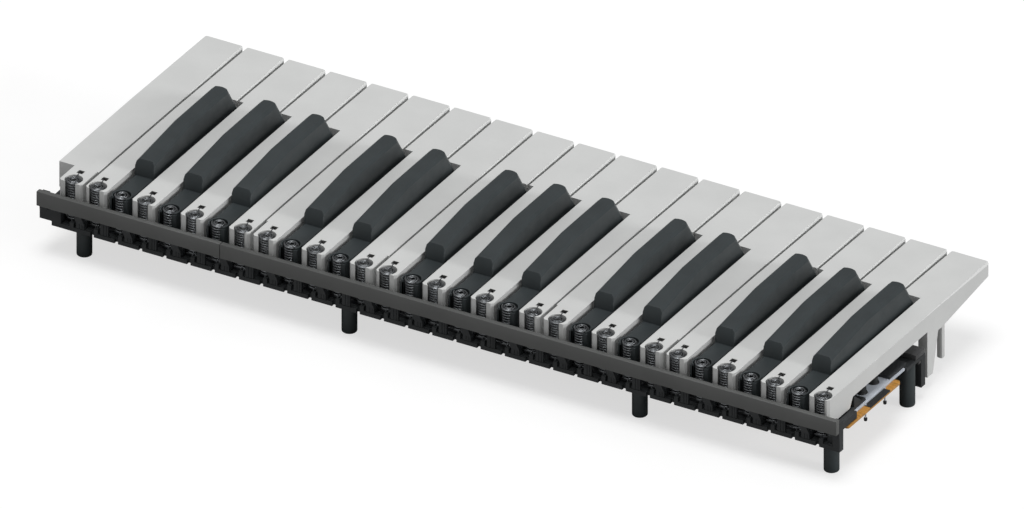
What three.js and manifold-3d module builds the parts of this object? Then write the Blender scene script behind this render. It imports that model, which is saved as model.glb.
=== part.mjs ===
// A 32-key spring-action keybed, from F up to C.
//
// Lengths are in millimetres. +X runs from the bass end to the treble end, the player sits at -Y,
// +Z is up, and the origin is on the surface under the feet, at the middle of the keybed.
// A depth is measured back from the front edge of the natural keys. A level is measured down
// from the top of the natural keys.

import * as THREE from 'three';
import { mergeVertices } from 'three/addons/utils/BufferGeometryUtils.js';
import Module from 'manifold-3d';

const wasm = await Module();
wasm.setup();

// Keyboard layout
const keyCount = 32;
const lowestNote = 5;
const lowestOctave = 3;
const noteNames = ['c', 'cs', 'd', 'ds', 'e', 'f', 'fs', 'g', 'gs', 'a', 'as', 'b'];
const octaveNaturals = 7;
const naturalPitch = 23.5;
const keyGap = 1.2;
const semitonePitch = naturalPitch * octaveNaturals / noteNames.length;
const naturalWidth = naturalPitch - keyGap;
const naturalCount = 19;

// Overall size
const standHeight = 42.3;
const frameOverhang = 0.9;
const frameOverrun = 7.5;
const frameLength = naturalCount * naturalPitch - keyGap + frameOverhang + frameOverrun;
const xFrame = frameLength / 2;
const xTreble = xFrame - frameOverhang;

// Clearances
const seatGap = 0.3;
const cutOverrun = 3;

// Natural keys. The mechanism keeps its distance from their rear end.
const naturalLength = 158.3;
const tailLength = 24.1;
const pivotDepth = naturalLength - tailLength;
const springSetback = 3.6;
const springDepth = naturalLength - springSetback;
const lipLevel = 7.3;
const sideLevel = 9.3;
const bellyLevel = 13.5;
const notchSetback = 86.3;
const notchDepth = pivotDepth - notchSetback;
const bellyLead = 0.9;
const bellyStart = notchDepth - bellyLead;
const bellyLength = 14.4;
const bellyEnd = bellyStart + bellyLength;
const tailLevel = 14.5;
const tailSlant = 3;
const notchHalf = 7.2;
const shoulderSetback = 11.9;
const shoulderDepth = springDepth - shoulderSetback;
const tailHalf = 6.4;
const cornerRadius = 2;
const shellWall = 1.6;
const shellTop = 2.4;

// Sharp keys
const sharpClearance = 3.5;
const sharpFront = notchDepth + sharpClearance;
const sharpSlope = 6.3;
const sharpEdge = sharpFront + sharpSlope;
const sharpEndGap = 1.3;
const sharpEnd = pivotDepth - sharpEndGap;
const sharpRoundLength = 2;
const sharpFall = sharpEnd - sharpRoundLength;
const sharpFallLength = 35.4;
const sharpBreak = sharpFall - sharpFallLength;
const sharpRise = 11.3;
const sharpFallRise = 6.9;
const sharpEndRise = 3.3;
const sharpHalf = 5.7;
const sharpCrownHalf = 4.5;
const sharpTopHalf = 3.1;
const sharpChamfer = 1.3;
const sharpNoseInset = 0.9;
const sharpNoseLength = 4;
const neckLevel = 1.9;
const neckHalf = 5;
const neckLap = 2;
const collarRadius = 5.4;
const collarLevel = 0.9;

// Springs, their bores in the key tails and the bars that their lower ends go round
const springInset = 15.1;
const springRadius = 3.55;
const springWire = 0.9;
const springCurls = 2;
const springTopLevel = 1;
const curlSteps = 7;
const wireSides = 5;
const boreRadius = 4.6;
const collarBoreRadius = 4.5;
const anchorWidth = 1.8;
const anchorHeight = 1.8;
const groupStarts = [0, 12, 24];
const groupNames = ['bass', 'middle', 'treble'];

// Pivot and travel
const pressDegrees = 4.2;
const pressSine = Math.sin(THREE.MathUtils.degToRad(pressDegrees));
const ridgeFlat = 0.8;
const ridgeLength = 6.2;
const ridgeFall = 4.4;

// Stop legs, guide pins and actuators under the keys
const legOffset = 3.84;
const legWidth = 2.8;
const legBreadth = 5.2;
const legSetback = 10.7;
const legFront = bellyEnd - legSetback;
const legToeLength = 5.3;
const legToe = legFront + legToeLength;
const legBottomLevel = 35.2;
const hookReach = 11.4;
const hookWidth = 1.6;
const hookHeight = 2.2;
const pinLead = 10.1;
const pinFront = legFront - pinLead;
const pinThickness = 3;
const pinWidth = 3.4;
const pinLevel = 34.2;
const actuatorSetbacks = [28.7, 17.2];
const actuatorDepths = actuatorSetbacks.map((setback) => pivotDepth - setback);
const actuatorRootRadius = 2.3;
const actuatorTipRadius = 1.6;
const actuatorLevel = 12.7;

// Rear bar
const barThickness = 2.95;
const barHeight = 8;
const barLevel = 7;
const barGap = 2.6;
const barFront = naturalLength + barGap;
const barJoint = 103.8;
const depthOverall = barFront + barThickness;

// Chassis
const springRoom = 6.7;
const troughFront = springDepth - springRoom;
const barClearance = 0.3;
const troughDepth = barFront - barClearance;
const wallGap = 5.9;
const wallThickness = 3.9;
const wallLevel = 35.3;
const shelfThickness = 1.8;
const shelfLength = 15.7;
const shelfLap = 2.6;
const deckLevel = 15.4;
const deckThickness = 1.6;
const deckLap = 1.8;
const deckEnd = troughFront + deckLap;
const downFeltThickness = 2.9;
const downFeltWidth = 9;
const upFeltThickness = 1.8;
const upFeltWidth = 2.4;
const hookWindowMargin = 1.2;
const hookWindowDrop = 1.6;
const windowMargin = 6;
const windowFront = Math.min(...actuatorDepths) - windowMargin;
const windowBack = Math.max(...actuatorDepths) + windowMargin;
const windowHalf = 4.75;
const frameInset = 1;
const frameBassInset = 5.3;
const slabLevel = 19.3;
const troughLevel = 25.9;
const troughFloor = 1.9;
const pocketHalf = 4.6;
const pocketWall = 1.7;
const slitHalf = 1;
const tabWidth = 2.2;
const tabLevel = 21.1;
const recessLevel = 23.6;
const anchorSlack = 0.4;
const endBlockLength = 6.8;
const endBlockLevel = 23.5;
const endLedgeLength = 12;
const endLedgeLevel = 17.6;
const endPlateThickness = 3.7;
const clampInset = 3;
const clampWidth = 3.4;
const clampLead = 4.2;
const clampLevel = 14.3;
const deckBassInset = 6.95;
const bracketWidth = 4;
const bracketDrop = 2.3;
const postLap = 1.5;
const postDepth = troughDepth - postLap;
const postInset = 0.3;
const postRoot = 0.7;
const postFoot = 21;

// Rubber contact strips with their pull tails, and the circuit board
const stripSetback = 48.2;
const stripFront = pivotDepth - stripSetback;
const stripLength = 48;
const stripBack = stripFront + stripLength;
const stripThickness = 1.3;
const stripBassInset = 4.5;
const domeRadius = 3.4;
const domeTopRadius = 2.4;
const tailSetbacks = [28.2, 9.2];
const tailDepths = tailSetbacks.map((setback) => pivotDepth - setback);
const tailOffset = 5.3;
const tailRadius = 0.7;
const tailHoleRadius = 1;
const tailBlobRadius = 1.4;
const tailBlobHeight = 3;
const tailDrop = 6.5;
const boardThickness = 1.6;
const boardGap = 0.6;
const boardBack = troughFront - boardGap;
const boardWidth = 51.5;
const boardFront = boardBack - boardWidth;
const boardInset = 1.5;
const boardBassInset = 2.6;

// Board screws and ribbon connector
const screwRadius = 1.1;
const screwHoleRadius = 1.3;
const screwHeadRadius = 2.6;
const screwHeadHeight = 1.6;
const screwBite = 3;
const screwSetback = 3.2;
const screwDepth = pivotDepth - screwSetback;
const screwKeys = [1, 7, 15, 23, 29];
const connectorLength = 22;
const connectorWidth = 6;
const connectorHeight = 8.6;
const connectorWall = 1;
const connectorKey = 9.5;
const connectorSetback = 6.4;
const connectorDepth = boardBack - connectorSetback;

// Feet
const footRadius = 3.95;
const footRound = 0.9;
const rearFootLead = 2.3;
const rearFootDepth = springDepth - rearFootLead;
const frontFootSetback = 10.7;
const frontFootDepth = bellyEnd + wallGap + frontFootSetback;
const footInsets = [19.8, 170.1, 334.8, 443.5];

// Smoothness of round shapes
const domeSides = 6;
const ribSides = 4;
const boreSides = 8;
const footSides = 10;
const screwSides = 6;
const cornerSteps = 1;
const mergeTolerance = 1e-4;

// Levels of the pieces that lie on each other, worked down from the keys
const wallDepth = bellyEnd + wallGap;
const shelfLevel = sideLevel + (pivotDepth - wallDepth) * pressSine + seatGap + downFeltThickness;
const shelfBottomLevel = shelfLevel + shelfThickness;
const hookLevel = shelfBottomLevel + upFeltThickness + seatGap;
const stripLevel = deckLevel + deckThickness;
const boardLevel = stripLevel + stripThickness;
const boardBottomLevel = boardLevel + boardThickness;
const troughFloorLevel = troughLevel - troughFloor;
const barBottomLevel = barLevel + barHeight;
const ridgeLevel = sideLevel + seatGap;

const up = (level) => standHeight - level;
const back = (depth) => depth - depthOverall / 2;
const springX = (order) => xTreble - springInset - order * semitonePitch;
const legX = (order) => springX(order) - legOffset;

// Geometry helpers

function toSolid(geometry) {
  const bare = geometry.clone();
  bare.deleteAttribute('normal');
  bare.deleteAttribute('uv');
  const merged = mergeVertices(bare, mergeTolerance);
  const triVerts = new Uint32Array(merged.index.array);
  const vertProperties = new Float32Array(merged.attributes.position.array);
  return new wasm.Manifold(new wasm.Mesh({ numProp: 3, vertProperties, triVerts }));
}

function toGeometry(solid) {
  const mesh = solid.getMesh();
  const geometry = new THREE.BufferGeometry();
  geometry.setAttribute('position', new THREE.BufferAttribute(mesh.vertProperties, mesh.numProp));
  geometry.setIndex(new THREE.BufferAttribute(mesh.triVerts, 1));
  return geometry;
}

function joined(solids) {
  return solids.reduce((whole, solid) => whole.add(solid));
}

function cut(solid, tools) {
  return tools.reduce((whole, tool) => whole.subtract(tool), solid);
}

// A box between two places on each axis, with depths and levels in place of Y and Z
function block(xLow, xHigh, front, rear, topLevel, bottomLevel) {
  const geometry = new THREE.BoxGeometry(xHigh - xLow, rear - front, bottomLevel - topLevel);
  const middle = (topLevel + bottomLevel) / 2;
  geometry.translate((xLow + xHigh) / 2, back((front + rear) / 2), up(middle));
  return toSolid(geometry);
}

// A side profile of [depth, level] points, drawn out along X
function sideSlab(points, xLow, xHigh) {
  const shape = new THREE.Shape(points.map(([depth, level]) => new THREE.Vector2(back(depth), up(level))));
  const geometry = new THREE.ExtrudeGeometry(shape, { depth: xHigh - xLow, bevelEnabled: false });
  const alongX = new THREE.Vector3(1, 0, 0);
  const alongY = new THREE.Vector3(0, 1, 0);
  const alongZ = new THREE.Vector3(0, 0, 1);
  geometry.applyMatrix4(new THREE.Matrix4().makeBasis(alongY, alongZ, alongX));
  geometry.translate(xLow, 0, 0);
  return toSolid(geometry);
}

// An upright round piece, which may taper
function column(x, depth, topLevel, bottomLevel, topRadius, bottomRadius, sides) {
  const height = bottomLevel - topLevel;
  const geometry = new THREE.CylinderGeometry(topRadius, bottomRadius, height, sides);
  geometry.rotateX(Math.PI / 2);
  geometry.translate(x, back(depth), up((topLevel + bottomLevel) / 2));
  return toSolid(geometry);
}

// The stop leg with its hook, which every key carries beside its middle line
function stopLeg(order, rootLevel, front = legFront) {
  const xLow = legX(order) - legWidth / 2;
  const xHigh = xLow + legBreadth;
  const profile = [
    [front, rootLevel],
    [bellyEnd, rootLevel],
    [bellyEnd, legBottomLevel],
    [legToe, legBottomLevel],
    [front, bellyLevel],
  ];
  const hook = block(xHigh - hookWidth, xHigh, legToe, bellyEnd + hookReach, hookLevel, hookLevel + hookHeight);
  return joined([sideSlab(profile, xLow, xHigh), hook]);
}

// The two tapered pins that press the rubber domes
function actuators(order, rootLevel) {
  return actuatorDepths.map((depth) => column(
    springX(order), depth, rootLevel, actuatorLevel, actuatorRootRadius, actuatorTipRadius, ribSides,
  ));
}

function springBore(order, radius) {
  return column(springX(order), springDepth, -cutOverrun, tailLevel + cutOverrun, radius, radius, boreSides);
}

// Natural keys

// How far a natural key reaches towards the treble and the bass, in front and beside the sharps
function naturalReach(key) {
  const trebleSide = xTreble - key.natural * naturalPitch;
  const bassSide = trebleSide - naturalWidth;
  const trebleTail = key.sharpAbove ? springX(key.order - 1) - notchHalf : trebleSide;
  const bassTail = key.sharpBelow ? springX(key.order + 1) + notchHalf : bassSide;
  return { trebleSide, bassSide, trebleTail, bassTail };
}

// The key seen from above: full width in front, notched for the sharps, narrow round the spring
function naturalPlan(key) {
  const { trebleSide, bassSide, trebleTail, bassTail } = naturalReach(key);
  const trebleRear = Math.min(trebleTail, springX(key.order) + tailHalf);
  const bassRear = Math.max(bassTail, springX(key.order) - tailHalf);
  const shape = new THREE.Shape();
  const quarter = Math.PI / 2;
  shape.absarc(bassSide + cornerRadius, back(cornerRadius), cornerRadius, -2 * quarter, -quarter, false);
  shape.absarc(trebleSide - cornerRadius, back(cornerRadius), cornerRadius, -quarter, 0, false);
  if (trebleTail < trebleSide) {
    shape.lineTo(trebleSide, back(notchDepth));
    shape.lineTo(trebleTail, back(notchDepth));
  }
  if (trebleRear < trebleTail) {
    shape.lineTo(trebleTail, back(shoulderDepth));
    shape.lineTo(trebleRear, back(shoulderDepth));
  }
  shape.lineTo(trebleRear, back(naturalLength));
  shape.lineTo(bassRear, back(naturalLength));
  if (bassRear > bassTail) {
    shape.lineTo(bassRear, back(shoulderDepth));
    shape.lineTo(bassTail, back(shoulderDepth));
  }
  if (bassTail > bassSide) {
    shape.lineTo(bassTail, back(notchDepth));
    shape.lineTo(bassSide, back(notchDepth));
  }
  const settings = { depth: tailLevel, bevelEnabled: false, curveSegments: cornerSteps };
  const geometry = new THREE.ExtrudeGeometry(shape, settings);
  geometry.translate(0, 0, up(tailLevel));
  return toSolid(geometry);
}

// The key seen from the side, with its belly over the stop leg and its drop behind the pivot
function naturalProfile(xLow, xHigh) {
  const tailStart = pivotDepth + seatGap;
  const profile = [
    [0, 0],
    [0, lipLevel],
    [bellyStart, bellyLevel],
    [bellyEnd, bellyLevel],
    [bellyEnd, sideLevel],
    [tailStart, sideLevel],
    [tailStart + tailSlant, tailLevel],
    [naturalLength, tailLevel],
    [naturalLength, 0],
  ];
  return sideSlab(profile, xLow, xHigh);
}

// The hollow under the wide front part of the key
function naturalHollow(key) {
  const { trebleSide, bassSide } = naturalReach(key);
  const rear = notchDepth - shellWall;
  const open = tailLevel + cutOverrun;
  return block(bassSide + shellWall, trebleSide - shellWall, shellWall, rear, shellTop, open);
}

function naturalKey(key) {
  const { trebleSide, bassSide } = naturalReach(key);
  const profile = naturalProfile(bassSide - cutOverrun, trebleSide + cutOverrun);
  const outer = naturalPlan(key).intersect(profile);
  const shell = outer.subtract(naturalHollow(key));
  const x = springX(key.order);
  const pin = block(x - pinWidth, x, pinFront, pinFront + pinThickness, shellTop / 2, pinLevel);
  const whole = joined([shell, pin, stopLeg(key.order, lipLevel), ...actuators(key.order, lipLevel)]);
  return toGeometry(cut(whole, [springBore(key.order, boreRadius)]));
}

// Sharp keys

// One station of the sharp's raised body: pairs of points from its foot to its top
function sharpStation(depths, rise, inset = 0) {
  const levels = [sideLevel, 0, sharpChamfer - rise, -rise];
  const halves = [sharpHalf, sharpHalf, sharpCrownHalf, sharpTopHalf];
  return levels.map((level, index) => ({ depth: depths[index], level, half: halves[index] - inset }));
}

// The raised body, lofted through its stations
function sharpBody(x) {
  const crownFront = sharpEdge - sharpChamfer;
  const nose = [sharpFront, sharpFront, crownFront, sharpEdge];
  const stations = [
    sharpStation(nose, sharpRise, sharpNoseInset),
    sharpStation(nose.map((depth) => depth + sharpNoseLength), sharpRise),
    sharpStation([sharpBreak, sharpBreak, sharpBreak, sharpBreak], sharpRise),
    sharpStation([sharpFall, sharpFall, sharpFall, sharpFall], sharpFallRise),
    sharpStation([sharpEnd, sharpEnd, sharpEnd, sharpEnd], sharpEndRise),
  ];
  const positions = [];
  const faces = [];
  const rows = stations[0].length;
  const ringSize = 2 * rows;
  stations.forEach((station) => {
    station.forEach(({ depth, level, half }) => positions.push(x - half, back(depth), up(level)));
    [...station].reverse().forEach(({ depth, level, half }) => positions.push(x + half, back(depth), up(level)));
  });
  const quad = (a, b, c, d) => faces.push(a, b, c, a, c, d);
  for (let station = 0; station + 1 < stations.length; station += 1) {
    for (let corner = 0; corner < ringSize; corner += 1) {
      const next = (corner + 1) % ringSize;
      const near = station * ringSize;
      const far = near + ringSize;
      quad(near + corner, near + next, far + next, far + corner);
    }
  }
  const last = (stations.length - 1) * ringSize;
  for (let row = 0; row + 1 < rows; row += 1) {
    const mirror = ringSize - 1 - row;
    quad(row, mirror, mirror - 1, row + 1);
    quad(last + mirror, last + row, last + row + 1, last + mirror - 1);
  }
  const geometry = new THREE.BufferGeometry();
  geometry.setAttribute('position', new THREE.Float32BufferAttribute(positions, 3));
  geometry.setIndex(faces);
  return toSolid(geometry);
}

function sharpKey(key) {
  const x = springX(key.order);
  const tailStart = pivotDepth + seatGap;
  const tail = [
    [sharpEnd - neckLap, neckLevel],
    [sharpEnd - neckLap, sideLevel],
    [tailStart, sideLevel],
    [tailStart + tailSlant, tailLevel],
    [springDepth, tailLevel],
    [springDepth, neckLevel],
  ];
  const collar = column(x, springDepth, collarLevel, tailLevel, collarRadius, collarRadius, boreSides);
  const neck = sideSlab(tail, x - neckHalf, x + neckHalf);
  const leg = stopLeg(key.order, lipLevel, sharpFront + sharpNoseLength);
  const solids = [sharpBody(x), neck, collar, leg, ...actuators(key.order, lipLevel)];
  const rearEnd = naturalLength + collarRadius;
  const rearCut = block(x - collarRadius - cutOverrun, x + collarRadius + cutOverrun, naturalLength, rearEnd,
    -cutOverrun, tailLevel + cutOverrun);
  return toGeometry(cut(joined(solids), [springBore(key.order, collarBoreRadius), rearCut]));
}

// Springs

// The wire's middle line: a straight foot into the anchor bar, the curls and a straight top end
function springPath(order) {
  const x = springX(order);
  const footLevel = troughFloorLevel - anchorHeight / 2;
  const firstLevel = troughFloorLevel - anchorHeight - 2 * springWire;
  const lastLevel = springTopLevel + springWire;
  const points = [new THREE.Vector3(springRadius, 0, up(footLevel))];
  const steps = springCurls * curlSteps;
  for (let step = 0; step <= steps; step += 1) {
    const angle = step / curlSteps * 2 * Math.PI;
    const level = THREE.MathUtils.lerp(firstLevel, lastLevel, step / steps);
    points.push(new THREE.Vector3(Math.cos(angle) * springRadius, Math.sin(angle) * springRadius, up(level)));
  }
  points.push(new THREE.Vector3(springRadius, 0, up(springTopLevel)));
  return points.map((point) => point.add(new THREE.Vector3(x, back(springDepth), 0)));
}

// The least gap between parts of the wire that are a half turn or more apart along it
function leastGap(points) {
  let least = Infinity;
  points.forEach((point, index) => {
    points.slice(index + curlSteps / 2).forEach((other) => {
      least = Math.min(least, point.distanceTo(other) - springWire);
    });
  });
  return least;
}

// A closed tube of a few sides round the spring's middle line
function springTube(order) {
  const points = springPath(order);
  const axis = new THREE.Vector3(springX(order), back(springDepth), 0);
  const positions = [];
  const faces = [];
  points.forEach((point, index) => {
    const before = points[Math.max(index - 1, 0)];
    const after = points[Math.min(index + 1, points.length - 1)];
    const tangent = new THREE.Vector3().subVectors(after, before).normalize();
    const outward = new THREE.Vector3().subVectors(point, axis).setZ(0).normalize();
    const across = new THREE.Vector3().crossVectors(tangent, outward).normalize();
    for (let side = 0; side < wireSides; side += 1) {
      const angle = side / wireSides * 2 * Math.PI;
      const corner = point.clone();
      corner.addScaledVector(outward, Math.cos(angle) * springWire / 2);
      corner.addScaledVector(across, Math.sin(angle) * springWire / 2);
      positions.push(corner.x, corner.y, corner.z);
    }
  });
  for (let ring = 0; ring + 1 < points.length; ring += 1) {
    for (let side = 0; side < wireSides; side += 1) {
      const next = (side + 1) % wireSides;
      const near = ring * wireSides;
      const far = near + wireSides;
      faces.push(near + side, near + next, far + next, near + side, far + next, far + side);
    }
  }
  const last = (points.length - 1) * wireSides;
  for (let side = 1; side + 1 < wireSides; side += 1) {
    faces.push(0, side + 1, side);
    faces.push(last, last + side, last + side + 1);
  }
  const geometry = new THREE.BufferGeometry();
  geometry.setAttribute('position', new THREE.Float32BufferAttribute(positions, 3));
  geometry.setIndex(faces);
  return toSolid(geometry);
}

// The springs of one group of keys, hooked on the bar that lies in the trough under them
function springGroup(orders) {
  const xHigh = springX(Math.min(...orders)) + pocketHalf;
  const xLow = springX(Math.max(...orders)) - pocketHalf;
  const half = anchorWidth / 2;
  const barTop = troughFloorLevel - anchorHeight;
  const bar = block(xLow, xHigh, springDepth - half, springDepth + half, barTop, troughFloorLevel);
  return toGeometry(joined([bar, ...orders.map(springTube)]));
}

// Chassis

// Front wall, shelf, deck and pivot ridge in one profile, with the trough's top behind them
function chassisProfile() {
  const shelfEnd = wallDepth + shelfLength;
  return [
    [wallDepth, wallLevel],
    [wallDepth, shelfLevel],
    [shelfEnd, shelfLevel],
    [shelfEnd, deckLevel],
    [pivotDepth - ridgeLength, deckLevel],
    [pivotDepth - ridgeLength, ridgeLevel + ridgeFall],
    [pivotDepth - ridgeFlat, ridgeLevel],
    [pivotDepth, ridgeLevel],
    [pivotDepth, deckLevel],
    [deckEnd, deckLevel],
    [deckEnd, slabLevel],
    [troughDepth, slabLevel],
    [troughDepth, boardBottomLevel],
    [troughFront, boardBottomLevel],
    [troughFront, stripLevel],
    [shelfEnd + shelfLap, stripLevel],
    [shelfEnd + shelfLap, shelfBottomLevel],
    [wallDepth + wallThickness, shelfBottomLevel],
    [wallDepth + wallThickness, wallLevel],
  ];
}

// The block at the bass end that the end of the board lies under
function boardClamp(xLow) {
  return block(xLow, xLow + clampWidth, pivotDepth + clampLead, troughDepth - endPlateThickness + seatGap,
    clampLevel, boardLevel - seatGap);
}

// The post that carries the rear bar between one key and the next
function barPost(order) {
  const half = semitonePitch / 2;
  const profile = [
    [postDepth, barBottomLevel],
    [depthOverall - postInset, barBottomLevel],
    [troughDepth - postInset, postFoot],
    [troughDepth - postInset, recessLevel + postRoot],
    [postDepth, recessLevel + postRoot],
  ];
  const x = springX(order) - half;
  return sideSlab(profile, x - half + pocketHalf, x + half - pocketHalf);
}

// The bracket behind each end of the rear bar
function barBracket(xLow) {
  const front = troughDepth - endPlateThickness;
  const profile = [
    [front, troughLevel],
    [front, barLevel + bracketDrop],
    [barFront, barLevel + bracketDrop],
    [barFront, barBottomLevel + seatGap],
    [troughDepth, slabLevel + seatGap],
    [troughDepth, troughLevel],
  ];
  return sideSlab(profile, xLow, xLow + bracketWidth);
}

// The keys share the chassis's openings in pairs, with one key alone at each end
function keyPairs() {
  const orders = keys.map((key) => key.order);
  return orders.filter((order) => order % 2 === 0).map((order) => [order - 1, order])
    .concat([[keyCount - 1]])
    .map((pair) => pair.filter((order) => order >= 0));
}

// What is cut out of the chassis for a pair of keys: hook window, dome window and spring pocket
function pairCuts(pair) {
  const first = Math.min(...pair);
  const last = Math.max(...pair);
  const hookX = (order) => legX(order) - legWidth / 2 + legBreadth - hookWidth / 2;
  const hookHalf = hookWidth / 2 + hookWindowMargin;
  const hookDrop = (pivotDepth - wallDepth) * pressSine + hookHeight + hookWindowDrop;
  const windowLow = last === keyCount - 1 ? -xFrame : springX(last) - windowHalf;
  const wallBack = wallDepth + wallThickness;
  return [
    block(hookX(last) - hookHalf, hookX(first) + hookHalf, wallDepth - cutOverrun, wallBack + seatGap,
      hookLevel - seatGap, hookLevel + hookDrop),
    block(windowLow, springX(first) + windowHalf, windowFront, windowBack, deckLevel - cutOverrun,
      stripLevel + cutOverrun),
    block(springX(last) - pocketHalf, springX(first) + pocketHalf, springDepth - pocketHalf,
      troughDepth - pocketWall, slabLevel - cutOverrun, troughFloorLevel),
  ];
}

// The recess between two tabs in the rear wall of the trough, on the bass side of a key
function railRecess(order) {
  const x = springX(order);
  const low = Math.max(x - semitonePitch - slitHalf, bracketWidth - xFrame);
  const high = Math.min(x - slitHalf - tabWidth, xFrame - endLedgeLength);
  return block(low, high, troughDepth - pocketWall - seatGap, troughDepth + cutOverrun, tabLevel - cutOverrun,
    recessLevel);
}

// The slit that a spring's foot hooks into, in the rear wall of the trough
function railSlit(order) {
  const x = springX(order);
  return block(x - slitHalf, x + slitHalf, troughDepth - pocketWall - seatGap, troughDepth + cutOverrun,
    tabLevel - cutOverrun, troughLevel + cutOverrun);
}

function screwHole(order, topLevel, bottomLevel) {
  const x = springX(order) - semitonePitch / 2;
  return column(x, screwDepth, topLevel, bottomLevel, screwHoleRadius, screwHoleRadius, screwSides);
}

function chassis() {
  const orders = keys.map((key) => key.order);
  const xHigh = xTreble - frameInset;
  const xLow = -xFrame + frameBassInset;
  const body = sideSlab(chassisProfile(), xLow, xHigh);
  const trough = block(-xFrame, xFrame, troughFront, troughDepth, slabLevel, troughLevel);
  const troughEnd = block(-xFrame - cutOverrun, xLow, troughFront - cutOverrun, troughDepth - endPlateThickness,
    slabLevel - cutOverrun, troughLevel + cutOverrun);
  const brackets = [barBracket(-xFrame), barBracket(xFrame - bracketWidth)];
  const pairs = keyPairs();
  const posts = pairs.slice(0, -1).map((pair) => barPost(Math.max(...pair)));
  const clamp = boardClamp(clampInset - xFrame);
  const ledge = block(xFrame - endLedgeLength, xFrame, troughDepth - endPlateThickness, troughDepth,
    endLedgeLevel, endBlockLevel);
  const whole = joined([body, cut(trough, [troughEnd]), clamp, ...brackets]);
  const wallTop = block(bracketWidth - xFrame, xFrame - endLedgeLength, troughDepth - pocketWall - seatGap,
    troughDepth + cutOverrun, slabLevel - cutOverrun, tabLevel);
  const anchorHalf = anchorWidth / 2 + anchorSlack;
  const anchorTop = troughFloorLevel - anchorHeight - anchorSlack;
  const channel = block(springX(keyCount - 1), springX(0), springDepth - anchorHalf, springDepth + anchorHalf,
    anchorTop, troughFloorLevel);
  const endStep = block(xFrame - endBlockLength, xFrame + cutOverrun, troughFront - cutOverrun,
    troughDepth + cutOverrun, endBlockLevel, troughLevel + cutOverrun);
  const screws = screwKeys.map((order) => screwHole(order, stripLevel - screwBite - seatGap,
    stripLevel + cutOverrun));
  const deckEndCut = block(-xFrame - cutOverrun, deckBassInset - xFrame, wallDepth + shelfLength,
    pivotDepth + clampLead, ridgeLevel - cutOverrun, stripLevel + seatGap);
  const recesses = [-1, ...orders].map(railRecess);
  const slits = orders.filter((order) => order > 0).map(railSlit);
  const rail = [wallTop, ...recesses, ...slits];
  const cuts = [channel, endStep, deckEndCut, ...pairs.flatMap(pairCuts), ...rail, ...screws];
  return toGeometry(joined([cut(whole, cuts), ledge, ...posts]));
}

// Contact parts

// The places of the pull tails that hold the bass end of a strip down
function tailPlaces(orders) {
  const x = springX(Math.max(...orders)) - tailOffset;
  return tailDepths.map((depth) => ({ x, depth }));
}

// A pull tail under the strip, with the blob that it is pulled by
function pullTail({ x, depth }) {
  const end = boardBottomLevel + tailDrop;
  const cord = column(x, depth, stripLevel + stripThickness / 2, end - tailBlobHeight / 2,
    tailRadius, tailRadius, ribSides);
  const blob = column(x, depth, end - tailBlobHeight, end, tailBlobRadius, tailBlobRadius, ribSides);
  return cord.add(blob);
}

// A rubber strip with two domes under each key
function contactStrip(orders) {
  const xHigh = springX(Math.min(...orders)) + semitonePitch / 2 - seatGap;
  const xLow = springX(Math.max(...orders)) - semitonePitch / 2 + seatGap;
  const bassLimit = -xFrame + stripBassInset;
  const sheet = block(Math.max(xLow, bassLimit), xHigh, stripFront, stripBack, stripLevel, boardLevel);
  const domes = orders.flatMap((order) => actuatorDepths.map((depth) => column(
    springX(order), depth, actuatorLevel + seatGap, stripLevel + stripThickness / 2, domeTopRadius, domeRadius,
    domeSides,
  )));
  const tails = tailPlaces(orders).map(pullTail);
  const holes = screwKeys.map((order) => screwHole(order, stripLevel - cutOverrun, boardLevel + cutOverrun));
  return toGeometry(cut(joined([sheet, ...domes, ...tails]), holes));
}

function circuitBoard() {
  const xHigh = xTreble - boardInset;
  const xLow = -xFrame + boardBassInset;
  const board = block(xLow, xHigh, boardFront, boardBack, boardLevel, boardBottomLevel);
  const top = boardLevel - cutOverrun;
  const bottom = boardBottomLevel + cutOverrun;
  const screwHoles = screwKeys.map((order) => screwHole(order, top, bottom));
  const tailHoles = keyGroups().flatMap(tailPlaces).map(({ x, depth }) => column(
    x, depth, top, bottom, tailHoleRadius, tailHoleRadius, ribSides,
  ));
  return toGeometry(cut(board, [...screwHoles, ...tailHoles]));
}

function boardScrew(order) {
  const x = springX(order) - semitonePitch / 2;
  const head = column(x, screwDepth, boardBottomLevel, boardBottomLevel + screwHeadHeight,
    screwHeadRadius, screwHeadRadius, screwSides);
  const shank = column(x, screwDepth, stripLevel - screwBite, boardBottomLevel + screwHeadHeight / 2,
    screwRadius, screwRadius, screwSides);
  return toGeometry(joined([head, shank]));
}

function ribbonConnector() {
  const x = springX(connectorKey);
  const bottom = boardBottomLevel + connectorHeight;
  const halfLength = connectorLength / 2;
  const halfWidth = connectorWidth / 2;
  const body = block(x - halfLength, x + halfLength, connectorDepth - halfWidth, connectorDepth + halfWidth,
    boardBottomLevel, bottom);
  const socket = block(x - halfLength + connectorWall, x + halfLength - connectorWall,
    connectorDepth - halfWidth + connectorWall, connectorDepth + halfWidth - connectorWall,
    boardBottomLevel + connectorHeight / 2, bottom + cutOverrun);
  return toGeometry(body.subtract(socket));
}

// Rear bar, felts and feet

function rearBar(xLow, xHigh) {
  return toGeometry(block(xLow, xHigh, barFront, depthOverall, barLevel, barBottomLevel));
}

function felt(front, width, topLevel, bottomLevel) {
  const xHigh = xTreble - frameInset;
  const xLow = -xFrame + frameBassInset;
  return toGeometry(block(xLow, xHigh, front, front + width, topLevel, bottomLevel));
}

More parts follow.
